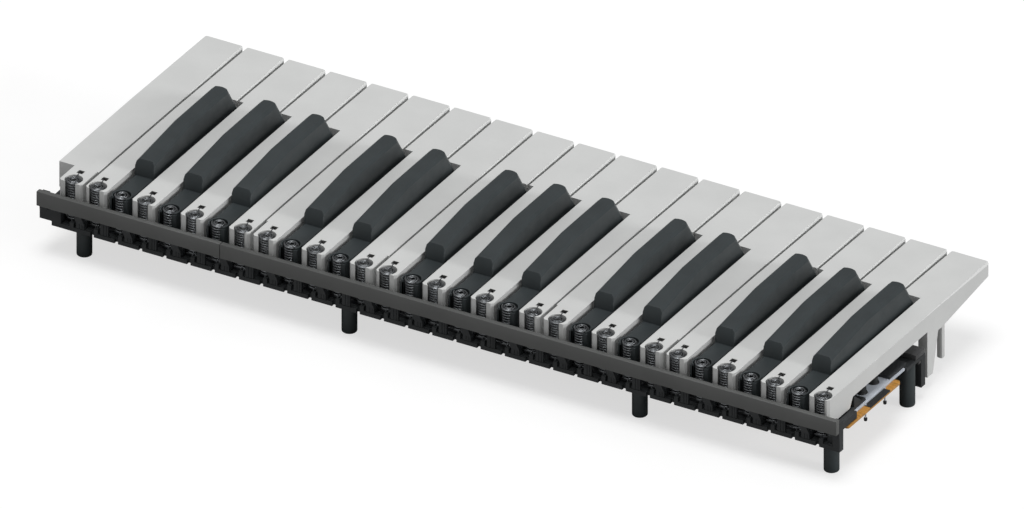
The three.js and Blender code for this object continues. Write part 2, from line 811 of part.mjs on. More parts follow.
function foot(inset, depth, topLevel) {
  const height = up(topLevel);
  const profile = [
    new THREE.Vector2(0, 0),
    new THREE.Vector2(footRadius - footRound, 0),
    new THREE.Vector2(footRadius, footRound),
    new THREE.Vector2(footRadius, height),
    new THREE.Vector2(0, height),
  ];
  const geometry = new THREE.LatheGeometry(profile, footSides);
  geometry.rotateX(Math.PI / 2);
  geometry.translate(xTreble - inset, back(depth), 0);
  return toGeometry(toSolid(geometry));
}

// The keys in order from the treble end, each with its note and its neighbours
function keyList() {
  const list = [];
  const isSharp = (semitone) => noteNames[semitone % noteNames.length].length > 1;
  let natural = 0;
  for (let order = 0; order < keyCount; order += 1) {
    const semitone = lowestNote + keyCount - 1 - order;
    const note = noteNames[semitone % noteNames.length];
    const octave = lowestOctave + Math.floor(semitone / noteNames.length);
    const sharp = isSharp(semitone);
    const sharpAbove = order > 0 && isSharp(semitone + 1);
    const sharpBelow = order < keyCount - 1 && isSharp(semitone - 1);
    const name = `${sharp ? 'black' : 'white'}_key_${note}${octave}`;
    list.push({ order, natural, sharp, sharpAbove, sharpBelow, name });
    natural += sharp ? 0 : 1;
  }
  return list;
}

// The orders of the keys in each group, which share a strip of contacts and a spring bar
function keyGroups() {
  return groupStarts.map((start, index) => {
    const end = groupStarts[index + 1] ?? keyCount;
    return keys.map((key) => key.order).filter((order) => {
      const fromBass = keyCount - 1 - order;
      return fromBass >= start && fromBass < end;
    });
  });
}

const keys = keyList();

// Materials
const plastic = (color) => new THREE.MeshStandardMaterial({ color, roughness: 0.45, metalness: 0 });
const metal = (color) => new THREE.MeshStandardMaterial({ color, roughness: 0.4, metalness: 1 });
const soft = (color) => new THREE.MeshStandardMaterial({ color, roughness: 0.9, metalness: 0 });
const naturalFinish = plastic(0xd2d4d2);
const sharpFinish = plastic(0x33393b);
const chassisFinish = plastic(0x222526);
const barFinish = metal(0x4a4c4c);
const springFinish = metal(0x55585a);
const rubberFinish = soft(0xbcc3cc);
const boardFinish = plastic(0xb9822f);
const feltFinish = soft(0x6b2320);
const footFinish = plastic(0x2a3234);
const screwFinish = metal(0x9a9da0);
const connectorFinish = plastic(0x17181a);

// Assembly
const keybed = new THREE.Group();

function place(name, geometry, material) {
  const mesh = new THREE.Mesh(geometry, material);
  mesh.name = name;
  keybed.add(mesh);
}

keys.forEach((key) => {
  place(key.name, key.sharp ? sharpKey(key) : naturalKey(key), key.sharp ? sharpFinish : naturalFinish);
});

keyGroups().forEach((orders, index) => {
  place(`springs_${groupNames[index]}`, springGroup(orders), springFinish);
  place(`contact_strip_${groupNames[index]}`, contactStrip(orders), rubberFinish);
});

place('chassis', chassis(), chassisFinish);
place('rear_bar_treble', rearBar(xFrame - barJoint, xFrame), barFinish);
place('rear_bar_bass', rearBar(-xFrame, xFrame - barJoint - seatGap), barFinish);
place('circuit_board', circuitBoard(), boardFinish);
place('down_stop_felt', felt(wallDepth + seatGap, downFeltWidth, shelfLevel - downFeltThickness, shelfLevel),
  feltFinish);
place('up_stop_felt', felt(wallDepth + wallThickness + seatGap, upFeltWidth, shelfBottomLevel,
  shelfBottomLevel + upFeltThickness), feltFinish);
place('ribbon_connector', ribbonConnector(), connectorFinish);

screwKeys.forEach((order, index) => {
  place(`board_screw_${index + 1}`, boardScrew(order), screwFinish);
});

footInsets.forEach((inset, index) => {
  place(`rear_foot_${index + 1}`, foot(inset, rearFootDepth, troughLevel), footFinish);
  place(`front_foot_${index + 1}`, foot(inset, frontFootDepth, shelfBottomLevel), footFinish);
});

console.log(`least gap of a spring to itself: ${leastGap(springPath(0)).toFixed(2)} mm`);

export default keybed;
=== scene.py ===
"""Builds the looks of a 32-key spring-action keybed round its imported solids."""

import math
from types import SimpleNamespace

import bmesh
import bpy
from mathutils import Matrix, Vector


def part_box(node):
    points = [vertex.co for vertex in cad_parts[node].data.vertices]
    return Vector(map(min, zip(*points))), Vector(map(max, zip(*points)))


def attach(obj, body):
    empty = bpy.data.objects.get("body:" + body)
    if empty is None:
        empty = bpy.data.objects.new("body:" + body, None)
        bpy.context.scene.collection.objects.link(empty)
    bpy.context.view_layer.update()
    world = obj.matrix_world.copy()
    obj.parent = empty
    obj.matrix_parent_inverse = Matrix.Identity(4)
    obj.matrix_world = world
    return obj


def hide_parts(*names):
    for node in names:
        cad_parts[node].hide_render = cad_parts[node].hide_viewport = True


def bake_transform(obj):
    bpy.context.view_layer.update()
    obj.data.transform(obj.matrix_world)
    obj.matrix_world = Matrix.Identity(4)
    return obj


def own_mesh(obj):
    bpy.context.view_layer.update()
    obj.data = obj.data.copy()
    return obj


bl_info = {
    "name": "Keybed",
    "version": (1, 0, 0),
    "blender": (4, 5, 0),
    "location": "3D View > Sidebar > Keybed",
    "description": "Keys, springs, frame and contact parts of a keybed",
    "category": "Object",
}

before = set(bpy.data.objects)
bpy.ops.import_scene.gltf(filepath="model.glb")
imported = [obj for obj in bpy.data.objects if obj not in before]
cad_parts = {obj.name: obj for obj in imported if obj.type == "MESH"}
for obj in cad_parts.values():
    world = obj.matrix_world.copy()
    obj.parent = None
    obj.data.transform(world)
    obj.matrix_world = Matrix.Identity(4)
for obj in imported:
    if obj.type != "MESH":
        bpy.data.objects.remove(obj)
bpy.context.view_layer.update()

NOTES = ("c", "cs", "d", "ds", "e", "f", "fs", "g", "gs", "a", "as", "b")
KEY_COUNT = 32
LOWEST_SEMITONE = 5
LOWEST_OCTAVE = 3
STAND = 42.3
FRAME_LENGTH = 453.7
FRAME_DEPTH = 163.85
TREBLE_X = 225.95
SPRING_INSET = 15.1
SEMITONE = 23.5 * 7 / 12
# depths from the naturals' front edge, and levels under their tops, in millimetres
LEG_FRONT = 50.7
LEG_REAR = 61.4
SHARP_LEG_FRONT = 55.4
NOTCH_DEPTH = 47.9
TAIL_DEPTH = 142.8
CHAMFER_END = 72
FRONT_DOME_DEPTH = 105.5
REAR_DOME_DEPTH = 117
DOME_BASE = 17.3
SPRING_DEPTH = 154.7
SPRING_FLOOR = 21.2
KEY_REAR = 158.3
SIDE_LEVEL = 9.3
HOLLOW_LEVEL = 13.5
TAIL_LEVEL = 14.5
BAR_LEVEL = 7
ANCHOR_LEVEL = 22.9
SCREW_DEPTH = 131
# half widths and radii round a spring, and the least step that a natural's side keeps
TAIL_HALF = 6.4
SHARP_ROOM = 7.2
LEAST_STEP = 0.3
SHARP_HALF = 5.7
NECK_HALF = 5
COLLAR_RADIUS = 5.4
SHARP_BORE = 4.5
WIRE_SIDES = 7
SPIRAL_STEPS = 24
MERGE_DISTANCE = 1e-6


# ---- sizes and colours that a user would change ----


def linear(code):
    """An sRGB hex value as a linear colour."""
    parts = [int(code[i:i + 2], 16) / 255 for i in (0, 2, 4)]
    return [c / 12.92 if c <= 0.04045 else ((c + 0.055) / 1.055) ** 2.4 for c in parts] + [1]


def length(name, text, millimetres):
    """A size, which Blender keeps in metres."""
    return bpy.props.FloatProperty(name=name, description=text, default=millimetres / 1000, min=0,
                                   precision=5, subtype="DISTANCE", unit="LENGTH")


def colour(name, text, code):
    """A colour, from its sRGB hex value."""
    return bpy.props.FloatVectorProperty(name=name, description=text, default=linear(code), size=4,
                                         min=0, max=1, subtype="COLOR")


class KeySizes(bpy.types.PropertyGroup):
    natural_pitch: length("Natural pitch", "From one natural key to the next", 23.5)
    gap: length("Gap", "Between two natural keys", 1.2)
    natural_length: length("Natural length", "Front edge to rear end", 158.3)
    top_chamfer: length("Top chamfer", "Chamfer on a natural key's long top edges", 0.95)
    front_radius: length("Front radius", "Radius of a natural key's two front corners", 2.0)
    edge_radius: length("Edge radius", "Softness of every other moulded edge", 0.2)
    sharp_rise: length("Sharp rise", "Height of a sharp key's ridge over the naturals", 11.3)
    sharp_chamfer: length("Sharp chamfer", "Chamfer along a sharp key's top", 1.4)
    bore: length("Bore", "Radius of the spring's bore in a key's tail", 4.6)


class SpringSizes(bpy.types.PropertyGroup):
    wire: length("Wire", "Diameter of the spring wire", 0.8)
    radius: length("Radius", "Middle radius of a spring", 3.55)
    pitch: length("Pitch", "From one turn of wire to the next", 1.4)
    spiral_pitch: length("Spiral pitch", "From one turn to the next in the flat top", 1.2)


class FrameSizes(bpy.types.PropertyGroup):
    edge_radius: length("Edge radius", "Softness of the frame's edges", 0.12)
    bar_height: length("Bar height", "Height of the rear bar", 8)
    bar_thickness: length("Bar thickness", "Thickness of the rear bar", 2.95)
    foot_radius: length("Foot radius", "Radius of a foot", 3.95)


class Finishes(bpy.types.PropertyGroup):
    natural: colour("Natural keys", "Colour of the natural keys", "D5D6D5")
    sharp: colour("Sharp keys", "Colour of the sharp keys", "343A3C")
    chassis: colour("Frame", "Colour of the moulded frame", "2B2E30")
    bar: colour("Rear bar", "Colour of the painted rear bar", "5C5D5C")
    wire: colour("Spring wire", "Colour of the spring steel", "909396")
    silicone: colour("Contact strip", "Colour of the silicone strip", "C4CAD3")
    dome: colour("Domes", "Colour of the rubber domes", "1C1D1E")
    board: colour("Circuit board", "Colour of the circuit board", "C98F3C")
    felt: colour("Felt", "Colour of the stop felts", "2B2B2D")
    foot: colour("Feet", "Colour of the feet", "2F3739")


def names_in(group):
    """The names of a group's own sizes or colours."""
    return [name for name in group.bl_rna.properties.keys() if name not in ("rna_type", "name")]


def in_millimetres(group):
    """A group's sizes in millimetres."""
    return SimpleNamespace(**{name: getattr(group, name) * 1000 for name in names_in(group)})


# ---- places ----


def at(x, depth, level):
    """A point in metres from a place along the keybed, a depth and a level in millimetres."""
    return Vector((x, depth - FRAME_DEPTH / 2, STAND - level)) / 1000


def spring_x(order):
    """Where a key's spring stands, with the keys counted from the treble end."""
    return TREBLE_X - SPRING_INSET - order * SEMITONE


def depth_of(point):
    """A point's distance behind the naturals' front edge, in millimetres."""
    return point.y * 1000 + FRAME_DEPTH / 2


def level_of(point):
    """A point's distance under the naturals' tops, in millimetres."""
    return STAND - point.z * 1000


def key_list():
    """Every key from the treble end, with its note, its neighbours and its body."""
    keys = []
    natural = 0
    for order in range(KEY_COUNT):
        semitone = LOWEST_SEMITONE + KEY_COUNT - 1 - order
        note = NOTES[semitone % 12]
        sharp = len(note) > 1
        label = f"{note}{LOWEST_OCTAVE + semitone // 12}"
        tone = "black" if sharp else "white"
        keys.append({
            "order": order, "natural": natural, "sharp": sharp,
            "node": f"{tone}_key_{label}", "body": f"{tone}_{label}", "label": label,
            "sharp_above": order > 0 and len(NOTES[(semitone + 1) % 12]) > 1,
            "sharp_below": order < KEY_COUNT - 1 and len(NOTES[(semitone - 1) % 12]) > 1,
            "group": "bass" if order > 19 else "middle" if order > 7 else "treble",
        })
        natural += 0 if sharp else 1
    return keys


KEYS = key_list()
KEY_GROUPS = ("bass", "middle", "treble")


# ---- materials ----


def add_node(tree, kind, settings=None, links=None):
    """Adds a node with its settings and its input links."""
    node = tree.nodes.new(kind)
    for key, value in (settings or {}).items():
        if isinstance(key, int) or key in node.inputs:
            node.inputs[key].default_value = value
        else:
            setattr(node, key, value)
    for key, socket in (links or {}).items():
        tree.links.new(socket, node.inputs[key])
    return node


def start_material(name, shade, share, patch_mm, stretch=1):
    """A material with its shader and its mottled colour, and the place on the object in millimetres."""
    material = bpy.data.materials.new(name)
    material.use_nodes = True
    tree = material.node_tree
    tree.nodes.clear()
    shader = add_node(tree, "ShaderNodeBsdfPrincipled")
    add_node(tree, "ShaderNodeOutputMaterial", links={"Surface": shader.outputs[0]})
    place = add_node(tree, "ShaderNodeTexCoord")
    scaled = add_node(tree, "ShaderNodeMapping", {"Scale": (1000, 1000, 1000)},
                      {"Vector": place.outputs["Object"]})
    drawn = add_node(tree, "ShaderNodeMapping", {"Scale": (stretch, 1, 1)}, {"Vector": scaled.outputs[0]})
    base = mottled(tree, drawn.outputs[0], shade, share, patch_mm)
    tree.links.new(base, shader.inputs["Base Color"])
    return material, tree, shader, scaled.outputs[0]


def mottled(tree, vector, base, share, patch_mm):
    """A base colour that drifts to a share of its brightness in soft patches of a real size."""
    noise = add_node(tree, "ShaderNodeTexNoise", {"Scale": 1 / patch_mm, "Detail": 4.0}, {"Vector": vector})
    ramp = add_node(tree, "ShaderNodeMapRange", {"From Min": 0.35, "From Max": 0.65},
                    {"Value": noise.outputs[0]})
    mix = add_node(tree, "ShaderNodeMix", {"data_type": "RGBA"}, {"Factor": ramp.outputs[0]})
    mix.inputs[6].default_value = base
    mix.inputs[7].default_value = [c * share for c in base[:3]] + [1]
    return mix.outputs[2]


def grain(tree, vector, shader, size_mm, height_mm, detail=2.0):
    """A fine moulded or rolled grain, as a bump."""
    noise = add_node(tree, "ShaderNodeTexNoise", {"Scale": 1 / size_mm, "Detail": detail}, {"Vector": vector})
    bump = add_node(tree, "ShaderNodeBump", {"Strength": 0.6, "Distance": height_mm / 1000},
                    {"Height": noise.outputs[0]})
    tree.links.new(bump.outputs[0], shader.inputs["Normal"])


def rough_between(tree, vector, shader, low, high, size_mm):
    """A roughness that wanders between two values, as handling leaves it."""
    noise = add_node(tree, "ShaderNodeTexNoise", {"Scale": 1 / size_mm, "Detail": 3.0}, {"Vector": vector})
    limits = {"From Min": 0.3, "From Max": 0.7, "To Min": low, "To Max": high}
    ramp = add_node(tree, "ShaderNodeMapRange", limits, {"Value": noise.outputs[0]})
    tree.links.new(ramp.outputs[0], shader.inputs["Roughness"])


def moulded_abs_white(shade):
    """Natural keys: satin moulded ABS. The eye gets a clean, faintly cool white with soft highlights."""
    material, tree, shader, place = start_material("moulded_abs_white", shade, 0.95, 18)
    shader.inputs["IOR"].default_value = 1.5
    rough_between(tree, place, shader, 0.38, 0.48, 9)
    # the mould's polish has waves of a few millimetres that soften the highlights
    grain(tree, place, shader, 4.0, 0.006)
    return material


def moulded_abs_charcoal(shade):
    """Sharp keys: matt moulded ABS. The eye gets a dull charcoal with a soft sheen on its facets."""
    material, tree, shader, place = start_material("moulded_abs_charcoal", shade, 0.85, 12)
    shader.inputs["IOR"].default_value = 1.5
    shader.inputs["Specular IOR Level"].default_value = 0.4
    rough_between(tree, place, shader, 0.42, 0.54, 7)
    # spark-eroded mould grain of 0.2 mm, drawn at 0.6 mm so that it shows
    grain(tree, place, shader, 0.6, 0.02)
    return material


def glass_filled_nylon(shade):
    """Frame: black glass-filled plastic. The eye gets a dull black with faint flow patches."""
    material, tree, shader, place = start_material("glass_filled_nylon", shade, 0.78, 15)
    rough_between(tree, place, shader, 0.5, 0.68, 10)
    # glass fibres lie 0.1 to 0.3 mm long under the skin, drawn at 0.8 mm
    grain(tree, place, shader, 0.8, 0.03, 4.0)
    return material


def painted_steel(shade):
    """Rear bar: steel strip under dark grey paint. The eye gets an even satin grey with fine orange peel."""
    material, tree, shader, place = start_material("painted_steel", shade, 0.9, 25)
    rough_between(tree, place, shader, 0.42, 0.55, 14)
    # paint's orange peel has cells of about 1.2 mm
    grain(tree, place, shader, 1.2, 0.02, 0.0)
    return material


def drawn_spring_steel(shade):
    """Springs: drawn, oil-tempered wire. The eye gets a dark satin metal with bright turns."""
    material, tree, shader, place = start_material("drawn_spring_steel", shade, 0.55, 3)
    shader.inputs["Metallic"].default_value = 1
    rough_between(tree, place, shader, 0.28, 0.42, 2)
    return material


def silicone_rubber(name, shade, share):
    """Contact strip and domes: moulded silicone. The eye gets a dull, dusty surface, no highlights."""
    material, tree, shader, place = start_material(name, shade, share, 6)
    shader.inputs["IOR"].default_value = 1.43
    rough_between(tree, place, shader, 0.6, 0.75, 5)
    grain(tree, place, shader, 0.7, 0.02)
    return material


def phenolic_board(shade):
    """Circuit board: paper laminate under lacquer. The eye gets tan with fibres that run along the board."""
    material, tree, shader, place = start_material("phenolic_board", shade, 0.65, 1.4, stretch=0.12)
    shader.inputs["Coat Weight"].default_value = 0.25
    rough_between(tree, place, shader, 0.35, 0.5, 8)
    grain(tree, place, shader, 0.9, 0.01)
    return material


def pressed_felt(shade):
    """Stop felts: pressed wool. The eye gets a dry dark grey with loose fibres."""
    material, tree, shader, place = start_material("pressed_felt", shade, 0.6, 0.9)
    shader.inputs["Roughness"].default_value = 0.95
    shader.inputs["Sheen Weight"].default_value = 0.4
    # wool fibres of 0.03 mm, drawn as tufts of 0.5 mm
    grain(tree, place, shader, 0.5, 0.12, 6.0)
    return material


def moulded_slate_plastic(shade):
    """Feet: plain slate plastic. The eye gets a smooth blue-black with soft shine."""
    material, tree, shader, place = start_material("moulded_slate_plastic", shade, 0.7, 8)
    rough_between(tree, place, shader, 0.38, 0.5, 6)
    grain(tree, place, shader, 0.8, 0.015)
    return material


def moulded_connector_black():
    """Ribbon connector: moulded thermoplastic. The eye gets a crisp small black housing."""
    material, tree, shader, place = start_material("moulded_connector_black", linear("17181A"), 1.4, 4)
    rough_between(tree, place, shader, 0.4, 0.55, 3)
    grain(tree, place, shader, 0.5, 0.01)
    return material


def zinc_plated_steel():
    """Screws: bright zinc over steel. The eye gets a pale metal with cloudy brightness."""
    material, tree, shader, place = start_material("zinc_plated_steel", linear("B4B7BA"), 0.68, 1.5)
    shader.inputs["Metallic"].default_value = 1
    rough_between(tree, place, shader, 0.22, 0.38, 1.5)
    return material


def tinned_copper():
    """Contact pins: tinned wire. The eye gets small bright points in the connector."""
    material, tree, shader, place = start_material("tinned_copper", linear("C9C7BE"), 0.68, 1)
    shader.inputs["Metallic"].default_value = 1
    rough_between(tree, place, shader, 0.2, 0.35, 1)
    return material


def dull_black_film():
    """Board end film: a thin dull black layer laid on the board. The eye gets a dull black film."""
    material, tree, shader, place = start_material("dull_black_film", linear("191A1B"), 1.5, 2)
    rough_between(tree, place, shader, 0.5, 0.65, 3)
    grain(tree, place, shader, 0.5, 0.01)
    return material


def studio_floor():
    """Floor: matt white card, seen pure white by the camera where no shadow falls."""
    material, tree, shader, place = start_material("studio_floor", linear("AAAAAA"), 0.96, 60)
    shader.inputs["Roughness"].default_value = 0.9
    shader.inputs["Specular IOR Level"].default_value = 0.1
    rays = add_node(tree, "ShaderNodeLightPath")
    glow = add_node(tree, "ShaderNodeEmission", {"Color": (1, 1, 1, 1), "Strength": 0.64})
    both = add_node(tree, "ShaderNodeAddShader", links={0: shader.outputs[0], 1: glow.outputs[0]})
    choice = {0: rays.outputs["Is Camera Ray"], 1: shader.outputs[0], 2: both.outputs[0]}
    pick = add_node(tree, "ShaderNodeMixShader", links=choice)
    output = next(node for node in tree.nodes if node.type == "OUTPUT_MATERIAL")
    tree.links.new(pick.outputs[0], output.inputs["Surface"])
    return material


MATERIALS = {}


def finish_of(name):
    """A finish by its slot's name, made once."""
    colours = bpy.context.scene.keybed_finishes
    makers = {
        "natural_plastic": lambda: moulded_abs_white(colours.natural),
        "sharp_plastic": lambda: moulded_abs_charcoal(colours.sharp),
        "chassis_plastic": lambda: glass_filled_nylon(colours.chassis),
        "bar_metal": lambda: painted_steel(colours.bar),
        "spring_wire": lambda: drawn_spring_steel(colours.wire),
        "silicone_rubber": lambda: silicone_rubber("moulded_silicone_strip", colours.silicone, 0.82),
        "dome_rubber": lambda: silicone_rubber("moulded_silicone_dome", colours.dome, 1.5),
        "board_laminate": lambda: phenolic_board(colours.board),
        "felt": lambda: pressed_felt(colours.felt),
        "foot_plastic": lambda: moulded_slate_plastic(colours.foot),
        "connector_plastic": moulded_connector_black,
        "screw_metal": zinc_plated_steel,
        "pin_metal": tinned_copper,
        "board_film": dull_black_film,
    }
    if name not in MATERIALS:
        MATERIALS[name] = makers[name]()
    return MATERIALS[name]


# ---- mesh helpers ----


def outline(bm, points):
    """A closed face through a few points."""
    verts = [bm.verts.new(point) for point in points]
    return bm.faces.new(verts)


def raise_faces(bm, faces, step):
    """Extrudes faces by a step and keeps the first faces as the far side."""
    grown = bmesh.ops.extrude_face_region(bm, geom=faces, use_keep_orig=True)
    verts = [item for item in grown["geom"] if isinstance(item, bmesh.types.BMVert)]
    bmesh.ops.translate(bm, verts=verts, vec=step)
    bmesh.ops.recalc_face_normals(bm, faces=bm.faces)


def cut_across(bm, place, normal):
    """Adds edges where a plane crosses the piece."""
    geom = list(bm.verts) + list(bm.edges) + list(bm.faces)
    bmesh.ops.bisect_plane(bm, geom=geom, plane_co=place, plane_no=normal, dist=MERGE_DISTANCE)


def slab(bm, profile, x_low, x_high):
    """A side profile of depths and levels, drawn out along X."""
    part = bmesh.new()
    face = outline(part, [at(x_low, depth, level) for depth, level in profile])
    raise_faces(part, [face], Vector(((x_high - x_low) / 1000, 0, 0)))
    absorb(bm, part)


def absorb(bm, part):
    """Adds one bmesh's geometry to another."""
    scratch = bpy.data.meshes.new("scratch")
    part.to_mesh(scratch)
    part.free()
    bm.from_mesh(scratch)
    bpy.data.meshes.remove(scratch)


def soften(bm, edges, radius, segments=3):
    """Rounds edges, or chamfers them with one segment."""
    bmesh.ops.bevel(bm, geom=edges, offset=radius / 1000, offset_type="OFFSET", affect="EDGES",
                    segments=segments, profile=0.5, material=-1, clamp_overlap=True)


def block(bm, x_low, x_high, front, rear, top, bottom, radius=0.0):
    """A box between two places on each axis, with softened edges where a radius is given."""
    part = bmesh.new()
    bmesh.ops.create_cube(part, size=1)
    size = Vector((x_high - x_low, rear - front, bottom - top)) / 1000
    middle = at((x_low + x_high) / 2, (front + rear) / 2, (top + bottom) / 2)
    bmesh.ops.scale(part, verts=part.verts, vec=size)
    bmesh.ops.translate(part, verts=part.verts, vec=middle)
    if radius:
        soften(part, list(part.edges), radius, 2)
    absorb(bm, part)


def column(bm, x, depth, top, bottom, top_radius, bottom_radius, sides, round_bottom=0.0, round_top=0.0):
    """An upright round piece, which may taper and have soft rims."""
    part = bmesh.new()
    bmesh.ops.create_cone(part, cap_ends=True, segments=sides, radius1=bottom_radius / 1000,
                          radius2=top_radius / 1000, depth=(bottom - top) / 1000)
    bmesh.ops.translate(part, verts=part.verts, vec=at(x, depth, (top + bottom) / 2))
    middle = at(x, depth, (top + bottom) / 2).z
    for radius, test in ((round_bottom, lambda z: z < middle), (round_top, lambda z: z > middle)):
        if radius:
            rim = [e for e in part.edges if all(test(v.co.z) for v in e.verts)]
            soften(part, rim, radius, 3)
    absorb(bm, part)


def piece(name, bm, slot_name, body=None, nodes=(), bevel=0.0, finish=None, angle=35):
    """Turns a bmesh into a finished object that rides on its body."""
    mesh = bpy.data.meshes.new(name)
    bm.to_mesh(mesh)
    bm.free()
    mesh.materials.append(finish_of(finish or slot_name))
    mesh.shade_smooth()
    mesh.set_sharp_from_angle(angle=math.radians(angle))
    made = bpy.data.objects.new(name, mesh)
    bpy.context.scene.collection.objects.link(made)
    if bevel:
        modifier = made.modifiers.new("soft_edges", "BEVEL")
        modifier.width = bevel / 1000
        modifier.segments = 2
        modifier.limit_method = "ANGLE"
        modifier.angle_limit = math.radians(angle)
        modifier.harden_normals = True
    if body:
        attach(made, body)
    if nodes:
        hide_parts(*nodes)
    return made


# ---- keys ----


def bore_outline(bm, x, radius, before, after):
    """A face whose edge runs through the points before, round the bore and through the points after."""
    half = math.sqrt(radius ** 2 - (KEY_REAR - SPRING_DEPTH) ** 2)
    sweep = math.pi + 2 * math.atan2(KEY_REAR - SPRING_DEPTH, half)
    first = [bm.verts.new(point) for point in before]
    start = bm.verts.new(at(x + half, KEY_REAR, 0))
    spun = bmesh.ops.spin(bm, geom=[start], cent=at(x, SPRING_DEPTH, 0), axis=(0, 0, 1), angle=-sweep,
                          steps=36, use_merge=False)
    end = next(item for item in spun["geom_last"] if isinstance(item, bmesh.types.BMVert))
    last = [bm.verts.new(point) for point in after]
    chain = first + [start]
    for a, b in zip(chain, chain[1:]):
        bm.edges.new((a, b))
    chain = [end] + last + [first[0]]
    for a, b in zip(chain, chain[1:]):
        bm.edges.new((a, b))
    made = bmesh.ops.contextual_create(bm, geom=list(bm.edges))
    return made["faces"][0]


def stop_leg(bm, order, front=LEG_FRONT):
    """The stop leg with its hook, under every key."""
    bass = spring_x(order) - 5.24
    profile = [(front, 9), (LEG_REAR, 9), (LEG_REAR, 35.2), (56, 35.2), (front, HOLLOW_LEVEL)]
    slab(bm, profile, bass, bass + 5.2)
    block(bm, bass + 3.6, bass + 5.2, 57, 72.8, 21.3, 23.5)


def actuators(bm, order):
    """The two ribbed plungers over the rubber domes."""
    for depth in (FRONT_DOME_DEPTH, REAR_DOME_DEPTH):
        column(bm, spring_x(order), depth, 8, 12.7, 2.2, 1.5, 20, round_bottom=0.3)


def natural_sides(key):
    """A natural key's treble and bass sides: in front, beside the sharps and at the rear."""
    sizes = in_millimetres(bpy.context.scene.keybed_keys)
    x = spring_x(key["order"])
    treble = TREBLE_X - key["natural"] * sizes.natural_pitch
    bass = treble - sizes.natural_pitch + sizes.gap
    treble_tail = spring_x(key["order"] - 1) - SHARP_ROOM if key["sharp_above"] else treble
    bass_tail = spring_x(key["order"] + 1) + SHARP_ROOM if key["sharp_below"] else bass
    treble_rear, bass_rear = min(treble_tail, x + TAIL_HALF), max(bass_tail, x - TAIL_HALF)
    # a step of a few hundredths of a millimetre is left out
    if treble_tail - treble_rear < LEAST_STEP:
        treble_rear = treble_tail
    if bass_rear - bass_tail < LEAST_STEP:
        bass_rear = bass_tail
    return treble, bass, treble_tail, bass_tail, treble_rear, bass_rear


def underside(depth):
    """The level of a natural key's underside at a depth."""
    if depth <= 47:
        return 7.3 + 6.2 * depth / 47
    if depth <= LEG_REAR + 0.02:
        return HOLLOW_LEVEL
    if depth <= 134.52:
        return SIDE_LEVEL
    return min(TAIL_LEVEL, SIDE_LEVEL + 5.2 * (depth - 134.5) / 3)


def natural_body(key):
    """The moulded body of a natural key."""
    sizes = in_millimetres(bpy.context.scene.keybed_keys)
    treble, bass, treble_tail, bass_tail, treble_rear, bass_rear = natural_sides(key)
    x = spring_x(key["order"])
    before = [at(bass, 0, 0), at(treble, 0, 0)]
    if treble_tail < treble:
        before += [at(treble, NOTCH_DEPTH, 0), at(treble_tail, NOTCH_DEPTH, 0)]
    if treble_rear < treble_tail - 0.01:
        before += [at(treble_tail, TAIL_DEPTH, 0), at(treble_rear, TAIL_DEPTH, 0)]
    before.append(at(treble_rear, sizes.natural_length, 0))
    after = [at(bass_rear, sizes.natural_length, 0)]
    if bass_rear > bass_tail + 0.01:
        after += [at(bass_rear, TAIL_DEPTH, 0), at(bass_tail, TAIL_DEPTH, 0)]
    if bass_tail > bass:
        after += [at(bass_tail, NOTCH_DEPTH, 0), at(bass, NOTCH_DEPTH, 0)]
    bm = bmesh.new()
    face = bore_outline(bm, x, sizes.bore, before, after)
    raise_faces(bm, [face], Vector((0, 0, -TAIL_LEVEL / 1000)))
    corners = [e for e in bm.edges if all(depth_of(v.co) < 0.01 for v in e.verts)
               and abs(e.verts[0].co.z - e.verts[1].co.z) > 0.01]
    soften(bm, corners, sizes.front_radius, 5)
    rear = [e for e in bm.edges if all(abs(depth_of(v.co) - sizes.natural_length) < 0.01 for v in e.verts)
            and abs(e.verts[0].co.z - e.verts[1].co.z) > 0.01
            and min(abs(e.verts[0].co.x * 1000 - side) for side in (treble_rear, bass_rear)) < 0.01]
    soften(bm, rear, 1.2, 1)
    for depth in (24, 36, 47, 54, LEG_REAR, LEG_REAR + 0.05, 67, CHAMFER_END, 134.5, 137.5):
        cut_across(bm, at(0, depth, 0), (0, 1, 0))
    for vert in bm.verts:
        if level_of(vert.co) > 14:
            vert.co.z = (STAND - underside(depth_of(vert.co))) / 1000
    hollow_front(bm)
    chamfer_sides(bm, treble, bass, sizes.top_chamfer)
    bmesh.ops.remove_doubles(bm, verts=bm.verts, dist=1e-5)
    bmesh.ops.dissolve_degenerate(bm, dist=1e-5, edges=bm.edges)
    hook_hole(bm, x)
    return bm


def hollow_front(bm):
    """The hollow under the wide front part."""
    under = [f for f in bm.faces if f.normal.z < -0.5 and depth_of(f.calc_center_median()) < 46]
    bmesh.ops.inset_region(bm, faces=under, thickness=0.0016, use_boundary=True, use_even_offset=True)
    for vert in {v for f in under for v in f.verts}:
        vert.co.z = (STAND - 2.4) / 1000


def chamfer_sides(bm, treble, bass, size):
    """The chamfers on the long top edges, cut off by planes that run out towards the rear."""
    for side, inward in ((treble, -size), (bass, size)):
        low, high, end = at(side, 0, size), at(side + inward, 0, 0), at(side, CHAMFER_END, 0)
        normal = (high - low).cross(end - low).normalized()
        if normal.z < 0:
            normal.negate()
        geom = list(bm.verts) + list(bm.edges) + list(bm.faces)
        bmesh.ops.bisect_plane(bm, geom=geom, plane_co=low, plane_no=normal, dist=1e-7, clear_outer=True)
        bmesh.ops.edgeloop_fill(bm, edges=[e for e in bm.edges if e.is_boundary])
    bmesh.ops.recalc_face_normals(bm, faces=bm.faces)


